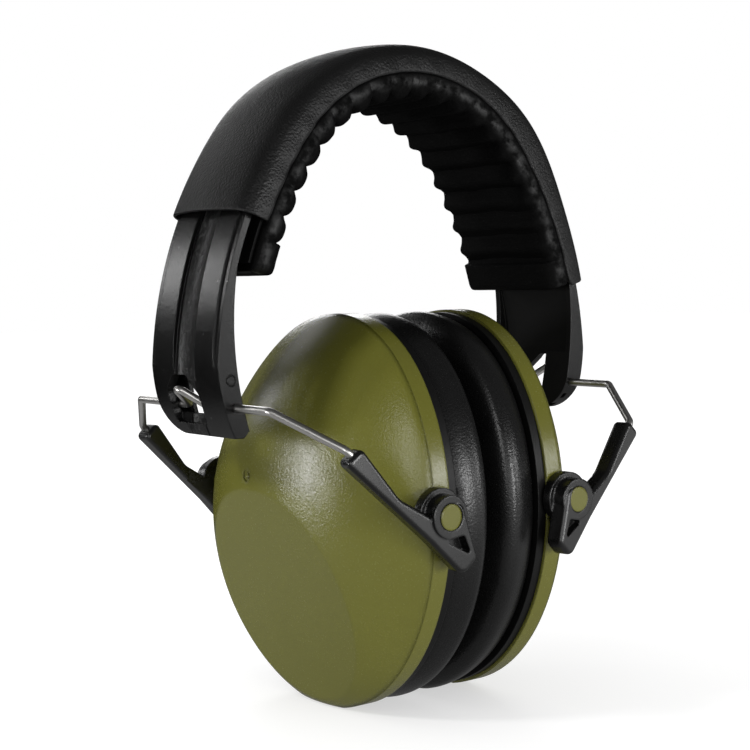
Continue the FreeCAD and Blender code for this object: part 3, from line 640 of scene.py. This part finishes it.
def olive_gloss(name, edge, depth):
    """Glossy olive plastic with a faint orange-peel surface. The edge's radius and the peel are in metres."""
    olive = Finish(name, Specular_IOR_Level=0.5, Coat_Roughness=0.2, Coat_Weight=0.08)
    flow = olive.noise(0.02, 3)
    peel = olive.noise(0.0016, 3, 0.6)
    grit = olive.noise(0.00055, 2, 0.7)
    dark, light = (0.106, 0.105, 0.014), (0.146, 0.145, 0.026)
    olive.feed(Base_Color=olive.between(flow * 0.5 + grit * 0.5, dark, light))
    olive.feed(Roughness=0.24 + (flow - 0.5) * 0.06 + (grit - 0.5) * 0.2)
    olive.feed(Normal=olive.bump(peel * 0.5 + grit, depth, 0.8, olive.soft_edges(edge)))
    return olive


finish_nodes(olive_gloss("dome_olive", edge=0.0019, depth=0.00011), "left_cup_shell", "right_cup_shell")
finish_nodes(olive_gloss("rim_olive", edge=0.0009, depth=0.00004), "left_rim_ring", "right_rim_ring")


# ---------------------------------------------------------------- the back plates, clips and absorbers
# A black plate closes each cup round the ear, and the cushion's clip ring snaps to it. Behind it lies a
# pad of dark grey foam that takes up the sound.

plate_nylon = moulded_plastic(
    "plate_nylon", grey(0.003), grey(0.007), roughness=0.4, edge=0.0003, specular=0.25
)
finish_nodes(plate_nylon, "left_back_plate", "right_back_plate", "left_cushion_clip", "right_cushion_clip")
absorber_foam = cell_foam("absorber_foam", (0.012, 0.012, 0.013), (0.07, 0.07, 0.075), cell=0.0012)
for side in ("left", "right"):
    node, piece = side + "_absorber_foam", side + "_absorber"
    cut_foam(node, piece, side + "_cup", absorber_foam, grain=0.0013, lump=0.005)


# ---------------------------------------------------------------- the ear cushions
# A ring of soft foam in a smooth black leatherette skin, welded round its edge and clipped to the plate.
# It is made slack, and cloth under pressure fills it.

CUP_HALF_HEIGHT = 52.4 * MILLI
CUP_HALF_WIDTH = 45.6 * MILLI
CUP_TAPER = 0.09  # by which it is narrower at the top
CUP_LEAN = math.radians(21.8)
CUP_MIDDLE_BACK = -1.5 * MILLI
CUP_MIDDLE_UP = PINS_UP - 3.5 * MILLI
CUSHION_STEPS = 200
# From the base's outer edge over the crest to the hole and back: the distance from the object's middle
# plane in millimetres, and the share of the cup's outline
CUSHION_SECTION = [
    (13.3, 0.75), (13.3, 0.86), (13.3, 0.915), (13.1, 0.935), (12.4, 0.946), (10.9, 0.959), (9.2, 0.971),
    (7.4, 0.981), (5.8, 0.985), (4.4, 0.982), (3.2, 0.968), (2.3, 0.942), (1.7, 0.905), (1.35, 0.86),
    (1.2, 0.81), (1.3, 0.76), (1.7, 0.71), (2.5, 0.665), (3.8, 0.63), (5.6, 0.605), (7.8, 0.592),
    (10.2, 0.588), (12.0, 0.593), (13.1, 0.61), (13.3, 0.65),
]


def cup_outline(turn, share):
    """The leaning, tapered oval of the cups, scaled about its middle: (back, up)."""
    along = CUP_HALF_WIDTH * share * np.cos(turn)
    up = CUP_HALF_HEIGHT * share * np.sin(turn)
    along = along * (1 - CUP_TAPER * up / CUP_HALF_HEIGHT)
    back = CUP_MIDDLE_BACK + along * math.cos(CUP_LEAN) - up * math.sin(CUP_LEAN)
    return back, CUP_MIDDLE_UP + along * math.sin(CUP_LEAN) + up * math.cos(CUP_LEAN)


# The crest is pressed back at the top, where the cushions meet when both cups hang outwards
PRESSED = 0.9  # millimetres at the crest
PRESSED_REACH = 8  # millimetres from the crest down the sides
PRESSED_TURN = math.radians(71)
PRESSED_SPREAD = 0.55  # radians


def cushion_blank(name, side):
    """The cushion before it fills: a slightly slack ring. side is -1 for the left."""
    crest = min(from_middle for from_middle, share in CUSHION_SECTION)
    rows = []
    for turn in np.linspace(0, 2 * math.pi, CUSHION_STEPS, endpoint=False):
        section = np.array(CUSHION_SECTION)
        pressed = PRESSED * math.exp(-(((turn - PRESSED_TURN) / PRESSED_SPREAD) ** 2))
        section[:, 0] += pressed * np.clip(1 - (section[:, 0] - crest) / PRESSED_REACH, 0, 1)
        back, up = cup_outline(turn, section[:, 1])
        rows.append(np.stack([side * section[:, 0] * MILLI, back, up], -1))
    rows.append(rows[0])
    made = swept(name, np.array(rows), closed_ends=False)
    weld = made.modifiers.new("weld", "WELD")
    weld.merge_threshold = 0.00001
    applied(made)
    face_out(made.data)
    return made


BASE_FROM = 12.7 * MILLI  # the skin further from the middle plane than this is welded down
FILL_MOMENTS = 20
FILL_CAP = 0.9 * MILLI  # the furthest that any point may go
FLOOR_GAP = 0.3 * MILLI
CLOTH_SETTINGS = {
    "quality": 6, "mass": 0.2, "tension_stiffness": 8, "compression_stiffness": 8, "shear_stiffness": 4,
    "bending_stiffness": 0.2, "use_pressure": True, "uniform_pressure_force": 4, "shrink_min": -0.02,
}


def fill(piece):
    """Blow a slack cushion up against its welded base with cloth."""
    rest = np.array([v.co for v in piece.data.vertices])
    held = piece.vertex_groups.new(name="held")
    welded = np.nonzero(np.abs(rest[:, 0]) > BASE_FROM)[0]
    held.add([int(i) for i in welded], 1.0, "ADD")
    cloth = piece.modifiers.new("cloth", "CLOTH")
    for setting, value in CLOTH_SETTINGS.items():
        setattr(cloth.settings, setting, value)
    cloth.settings.effector_weights.gravity = 0
    cloth.settings.vertex_group_mass = "held"
    cloth.collision_settings.use_collision = False
    cloth.collision_settings.use_self_collision = False
    scene = bpy.context.scene
    for moment in range(1, FILL_MOMENTS + 1):
        scene.frame_set(moment)
    graph = bpy.context.evaluated_depsgraph_get()
    blown = bpy.data.meshes.new_from_object(piece.evaluated_get(graph))
    step = np.array([v.co for v in blown.vertices]) - rest
    piece.modifiers.clear()
    bpy.data.meshes.remove(blown)
    scene.frame_set(1)
    length = np.linalg.norm(step, axis=1, keepdims=True)
    settled = rest + step * np.minimum(1, FILL_CAP / np.maximum(length, 1e-9))
    settled[:, 2] = np.maximum(settled[:, 2], FLOOR_GAP)
    piece.data.vertices.foreach_set("co", settled.ravel().astype(np.float32))
    piece.data.update()


cushion_hide = leatherette(
    "cushion_hide", grey(0.003), grey(0.010), roughness=0.29, grain=0.0005, depth=0.00005, specular=0.42
)
for side, name in ((-1, "left"), (1, "right")):
    cushion = cushion_blank(name + "_cushion", side)
    fill(cushion)
    smooth = cushion.modifiers.new("smooth", "SUBSURF")
    smooth.levels = smooth.render_levels = 1
    applied(cushion)
    cushion.data.materials.append(cushion_hide.material)
    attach(cushion, name + "_cup")
    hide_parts(name + "_cushion_skin", name + "_cushion_foam")


# ---------------------------------------------------------------- the floor and the surround
# A plain white floor and surround. The floor looks white because it glows to the camera, and keeps the
# object's shadow: the lamps cast part of it, and a shadow is painted into its glow under the cups. What
# glosses and the object's underside get of that glow is much less.

FLOOR_SIZE = 6.0
FLOOR_UP = -0.0004
GLOW_NEAR = 1.95  # round the object, where the lamps add the rest of the white
GLOW_FAR = 2.2
SHARE_GLOW = 0.46  # of the glow in what the camera sees; the rest is the lit floor with its shadow
SHARE_BOUNCE = 0.22  # of the glow in what lights the object from below
GLOSS_NEAR = 0.2  # what a gloss shows of the floor round the object, near its left, and on the far right
GLOSS_LEFT = 0.13
GLOSS_RIGHT = 0.9
PAINTED_SHADOW = 0.4  # how much darker the floor's glow is painted where it is shut in under the cups: a painted shadow
PAINTED_SHADOW_REACH = 0.07
SURROUND_DIM = 0.06  # the light of the surround on the object
SURROUND_GLOSS = 0.015  # and the share of its white in glosses


def floor_finish():
    """Matt white that glows, with a shadow painted into its glow where it is shut in under the cups."""
    white = Finish("floor_white", Base_Color=(0.8, 0.8, 0.8, 1), Roughness=0.5, Specular_IOR_Level=0.2)
    distance = white.node("ShaderNodeVectorMath", {"operation": "LENGTH"}, {0: white.place})[1]
    far = white.step(distance, 0.13, 0.36)
    # A painted shadow: the glow is dimmed where the floor is shut in under the cups
    open_sky = white.node("ShaderNodeAmbientOcclusion", {"samples": 8}, {"Distance": PAINTED_SHADOW_REACH})[1]
    strength = (GLOW_NEAR + far * (GLOW_FAR - GLOW_NEAR)) * (1 - (1 - open_sky) * PAINTED_SHADOW)
    glow = white.node("ShaderNodeEmission", {}, {"Strength": strength})[0]
    x, y = white.node("ShaderNodeSeparateXYZ", {}, {0: white.place})[:2]
    rightwards = white.step(x * 0.5 - y * 0.87, 0.0, 0.4)
    leftwards = white.step(y * 0.7 - x * 0.7, 0.0, 0.12) * (1 - white.step(distance, 0.2, 0.32))
    shine = (1 - far) * GLOSS_NEAR + leftwards * GLOSS_LEFT + rightwards * GLOSS_RIGHT
    gloss = white.node("ShaderNodeEmission", {}, {"Strength": shine})[0]
    rays = white.node("ShaderNodeLightPath")
    to_camera, to_dull, to_gloss = rays[0], rays[2], rays[3]
    share = to_camera * SHARE_GLOW + to_dull * SHARE_BOUNCE
    lit = Value(white, white.shader.outputs[0])
    plain = white.node("ShaderNodeMixShader", {}, {0: share, 1: lit, 2: glow})[0]
    shown = white.node("ShaderNodeMixShader", {}, {0: to_gloss, 1: plain, 2: gloss})[0]
    white.tree.links.new(shown.socket, white.surface)
    return white


bpy.ops.mesh.primitive_plane_add(size=FLOOR_SIZE, location=(0, 0, FLOOR_UP))
floor = bpy.context.object
floor.name = "floor"
floor.data.materials.append(floor_finish().material)

surround = bpy.data.worlds.new("surround")
bpy.context.scene.world = surround
surround.use_nodes = True
sky = Tree(surround.node_tree)
rays = sky.node("ShaderNodeLightPath")
to_camera, to_gloss, through_glass = rays[0], rays[3], rays[6]
seen = to_camera + to_gloss * SURROUND_GLOSS + through_glass
white = sky.node("ShaderNodeBackground", {}, {"Color": (1, 1, 1, 1), "Strength": 1.0})[0]
dim = sky.node("ShaderNodeBackground", {}, {"Color": (1, 1, 1, 1), "Strength": SURROUND_DIM})[0]
mixed = sky.node("ShaderNodeMixShader", {}, {0: seen, 1: dim, 2: white})[0]
sky.node("ShaderNodeOutputWorld", {}, {0: mixed})


# ---------------------------------------------------------------- the lamps
# Ten small soft boxes round the object, all aimed at its middle. The key and the front fill leave no
# gloss, and the left front box is there for its gloss alone.

LAMPS_AIM = (0, 0, 0.08)


def lamp(name, turn, height, distance, width, tall, power):
    """A soft box at a compass turn and height in degrees, and its distance and sizes in metres."""
    light = bpy.data.lights.new(name, "AREA")
    light.shape = "RECTANGLE"
    light.size, light.size_y = width, tall
    light.energy = power
    made = bpy.data.objects.new(name, light)
    bpy.context.scene.collection.objects.link(made)
    flat, rise = math.radians(turn), math.radians(height)
    way = Vector((math.cos(flat) * math.cos(rise), math.sin(flat) * math.cos(rise), math.sin(rise)))
    made.location = Vector(LAMPS_AIM) + way * distance
    made.rotation_euler = (-way).to_track_quat("-Z", "Y").to_euler()
    return made


lamp("key", 168, 36, 0.95, 0.14, 0.14, power=3.9).visible_glossy = False
lamp("left_strip", 157, -1, 0.85, 0.05, 0.24, power=2.7)
lamp("left_rear_strip", 118, 16.5, 0.9, 0.14, 0.14, power=0.45)
lamp("left_front_box", -147, 14, 0.95, 0.24, 0.42, power=1.5).visible_diffuse = False
lamp("rear_high", 92, 31, 1.0, 0.5, 0.22, power=0.4)
lamp("rear_box", 60, 20, 1.0, 0.45, 0.22, power=1.5)
lamp("right_box", -84, 3, 0.9, 0.2, 0.22, power=2.4)
lamp("right_low", -54, 6, 0.9, 0.26, 0.16, power=1.1)
lamp("front_fill", -96, 1, 1.0, 0.5, 0.16, power=2.0).visible_glossy = False
lamp("camera_box", -112, 4, 1.1, 0.8, 0.3, power=1.6)


# ---------------------------------------------------------------- the camera
# It stands before the left cup, a little above it, and looks slightly down with a long lens.

CAMERA_PLACE = (-0.2599, -0.3316, 0.111116)
CAMERA_TURN = -0.661  # radians, from straight ahead
CAMERA_TIP = 0.062  # downwards
CAMERA_ROLL = 0.019
CAMERA_LENS = 75.55  # millimetres, on a sensor 36 mm wide

back = np.array(
    [
        math.sin(CAMERA_TURN) * math.cos(CAMERA_TIP),
        -math.cos(CAMERA_TURN) * math.cos(CAMERA_TIP),
        math.sin(CAMERA_TIP),
    ]
)
right = np.array([math.cos(CAMERA_TURN), math.sin(CAMERA_TURN), 0])
up = np.cross(back, right)
cos_roll, sin_roll = math.cos(CAMERA_ROLL), math.sin(CAMERA_ROLL)
roll = np.array([[cos_roll, -sin_roll, 0], [sin_roll, cos_roll, 0], [0, 0, 1]])
axes = (roll @ np.array([right, up, back])).T
view = bpy.data.cameras.new("camera")
view.lens = CAMERA_LENS
view.sensor_width = 36
view.sensor_fit = "HORIZONTAL"
view.clip_start = 0.01
camera = bpy.data.objects.new("camera", view)
bpy.context.scene.collection.objects.link(camera)
camera.matrix_world = Matrix.Translation(CAMERA_PLACE) @ Matrix(axes.tolist()).to_4x4()
bpy.context.scene.camera = camera
bpy.context.scene.view_settings.view_transform = "Standard"
